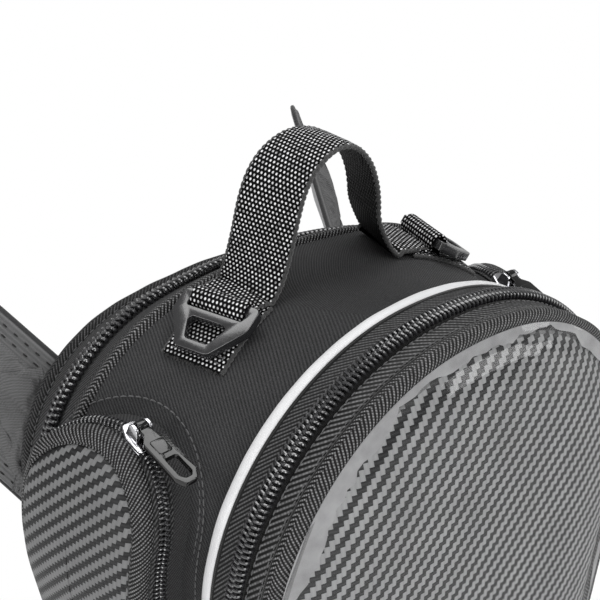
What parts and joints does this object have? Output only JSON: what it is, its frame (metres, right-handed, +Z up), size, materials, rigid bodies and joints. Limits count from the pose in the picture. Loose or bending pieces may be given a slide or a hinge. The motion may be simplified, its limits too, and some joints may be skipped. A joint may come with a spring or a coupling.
{
  "type": "tank bag",
  "caption": "Upright motorcycle tank bag with zipped front lid and clear map window, side pockets, webbing carrying handle, strap rings and magnetic fixing flaps.",
  "frame": {"origin": "on the flat foot that the bag stands on, on its plane of symmetry, under the ridge between the rear band and the wall", "axes": "+X across the bag, -Y towards the clear lid, +Y towards the tank side, +Z up towards the carrying handle"},
  "size_m": [0.2342, 0.2143, 0.352],
  "materials": {
    "oxford": "matt dense twill",
    "foam": "closed cell foam",
    "lining": "plain lining",
    "wing_fabric": "matt twill",
    "wing_lining": "soft brushed lining",
    "magnet": "plated",
    "woven_binding": "braided",
    "zip_tape": "twill tape",
    "zip_chain": "glossy coil",
    "reflective": "retroreflective",
    "board": "smooth sheet",
    "grip": "fine ribbed",
    "clear_film": "clear glossy film",
    "carbon_vinyl": "carbon weave look",
    "webbing": "coarse basket weave",
    "ring_plastic": "satin moulded",
    "slider_metal": "polished",
    "pull_metal": "black gloss"
  },
  "bodies": {
    "body": {"main_wall": "oxford", "wall_foam": "foam", "inner_lining": "lining", "ridge_binding": "woven_binding", "rear_tape_front": "zip_tape", "rear_tape_back": "zip_tape", "rear_chain_front": "zip_chain", "rear_chain_back": "zip_chain", "rear_edge_binding": "woven_binding", "base_panel": "oxford", "back_board": "board", "grip_pad": "grip", "reflective_piping": "reflective", "front_tape_outer": "zip_tape", "front_chain_outer": "zip_chain", "lid_hinge_strip": "oxford", "handle_tabs": "webbing", "ring_keepers": "webbing", "pocket_right_gusset": "oxford", "pocket_left_gusset": "oxford", "pocket_right_zip_outer": "zip_tape", "pocket_left_zip_outer": "zip_tape"},
    "lid": {"front_chain_inner": "zip_chain", "front_tape_inner": "zip_tape", "lid_binding": "woven_binding", "lid_board": "board", "carbon_panel": "carbon_vinyl", "map_window": "clear_film"},
    "front_slider": {"front_slider": "slider_metal"},
    "front_puller": {"front_puller": "pull_metal"},
    "rear_slider": {"rear_slider": "slider_metal"},
    "rear_puller": {"rear_puller": "pull_metal"},
    "handle": {"handle_strap": "webbing"},
    "ring_right": {"d_ring_right": "ring_plastic"},
    "ring_left": {"d_ring_left": "ring_plastic"},
    "pocket_right_cover": {"pocket_right_zip_inner": "zip_tape", "pocket_right_binding": "woven_binding", "pocket_right_panel": "carbon_vinyl"},
    "pocket_right_slider": {"pocket_right_slider": "slider_metal"},
    "pocket_right_puller": {"pocket_right_puller": "pull_metal"},
    "wing_upper_right": {"wing_upper_right_cover": "wing_fabric", "wing_upper_right_lining": "wing_lining", "wing_upper_right_magnets": "magnet"},
    "wing_lower_right": {"wing_lower_right_cover": "wing_fabric", "wing_lower_right_lining": "wing_lining", "wing_lower_right_magnets": "magnet"},
    "pocket_left_cover": {"pocket_left_zip_inner": "zip_tape", "pocket_left_binding": "woven_binding", "pocket_left_panel": "carbon_vinyl"},
    "pocket_left_slider": {"pocket_left_slider": "slider_metal"},
    "pocket_left_puller": {"pocket_left_puller": "pull_metal"},
    "wing_upper_left": {"wing_upper_left_cover": "wing_fabric", "wing_upper_left_lining": "wing_lining", "wing_upper_left_magnets": "magnet"},
    "wing_lower_left": {"wing_lower_left_cover": "wing_fabric", "wing_lower_left_lining": "wing_lining", "wing_lower_left_magnets": "magnet"}
  },
  "joints": [
    {"name": "lid_hinge", "type": "hinge", "parent": "body", "child": "lid", "pos_m": [0, -0.0826, 0], "axis": [1, 0, 0], "range_deg": [0, 90]},
    {"name": "front_slider_track", "type": "hinge", "parent": "body", "child": "front_slider", "pos_m": [0.0042, -0.0798, 0.22362], "axis": [0, 1, 0], "range_deg": [-70, 13]},
    {"name": "front_puller_hinge", "type": "hinge", "parent": "front_slider", "child": "front_puller", "pos_m": [0.09677, -0.0798, 0.23994], "axis": [0, -1, 0], "range_deg": [0, 150]},
    {"name": "rear_slider_track", "type": "hinge", "parent": "body", "child": "rear_slider", "pos_m": [0.03368, 0.0203, 0.22714], "axis": [0, 1, 0], "range_deg": [-30, 30]},
    {"name": "rear_puller_hinge", "type": "hinge", "parent": "rear_slider", "child": "rear_puller", "pos_m": [0.09061, 0.02245, 0.27162], "axis": [0.2532, -0.947, 0.1978], "range_deg": [0, 150]},
    {"name": "handle_hinge", "type": "hinge", "parent": "body", "child": "handle", "pos_m": [0, -0.016, 0.31677], "axis": [1, 0, 0], "range_deg": [-60, 60]},
    {"name": "ring_right_hinge", "type": "hinge", "parent": "body", "child": "ring_right", "pos_m": [0.04848, -0.02056, 0.30474], "axis": [-0.2734, -0.9619, 0.0001], "range_deg": [0, 95]},
    {"name": "ring_left_hinge", "type": "hinge", "parent": "body", "child": "ring_left", "pos_m": [-0.04848, -0.02056, 0.30474], "axis": [-0.2734, 0.9619, -0.0001], "range_deg": [0, 95]},
    {"name": "wing_upper_right_hinge", "type": "hinge", "parent": "body", "child": "wing_upper_right", "pos_m": [0.092, 0.0443, 0.214], "axis": [-0.4067, 0, 0.9135], "range_deg": [-50, 30]},
    {"name": "wing_upper_left_hinge", "type": "hinge", "parent": "body", "child": "wing_upper_left", "pos_m": [-0.094, 0.0443, 0.205], "axis": [-0.342, 0, -0.9397], "range_deg": [-55, 25]},
    {"name": "wing_lower_right_hinge", "type": "hinge", "parent": "body", "child": "wing_lower_right", "pos_m": [0.0635, 0.0443, 0.062], "axis": [0.1788, 0, 0.9839], "range_deg": [-55, 25]},
    {"name": "wing_lower_left_hinge", "type": "hinge", "parent": "body", "child": "wing_lower_left", "pos_m": [-0.0635, 0.0443, 0.062], "axis": [0.1788, 0, -0.9839], "range_deg": [-55, 25]},
    {"name": "pocket_right_hinge", "type": "hinge", "parent": "body", "child": "pocket_right_cover", "pos_m": [0.0902, 0.0097, 0.125], "axis": [0.1576, 0, 0.9875], "range_deg": [0, 32]},
    {"name": "pocket_left_hinge", "type": "hinge", "parent": "body", "child": "pocket_left_cover", "pos_m": [-0.0902, 0.0097, 0.125], "axis": [0.1576, 0, -0.9875], "range_deg": [0, 32]},
    {"name": "pocket_right_slider_track", "type": "hinge", "parent": "body", "child": "pocket_right_slider", "pos_m": [0.09868, -0.02084, 0.24523], "axis": [0.9576, -0.0679, 0.2801], "range_deg": [0, 50]},
    {"name": "pocket_left_slider_track", "type": "hinge", "parent": "body", "child": "pocket_left_slider", "pos_m": [-0.09868, -0.02084, 0.24523], "axis": [0.9576, 0.0679, -0.2801], "range_deg": [0, 50]},
    {"name": "pocket_right_puller_hinge", "type": "hinge", "parent": "pocket_right_slider", "child": "pocket_right_puller", "pos_m": [0.08987, -0.03158, 0.27862], "axis": [-0.9989, 0.0452, 0.0138], "range_deg": [0, 150]},
    {"name": "pocket_left_puller_hinge", "type": "hinge", "parent": "pocket_left_slider", "child": "pocket_left_puller", "pos_m": [-0.08987, -0.03158, 0.27862], "axis": [-0.9989, -0.0452, -0.0138], "range_deg": [0, 150]}
  ]
}
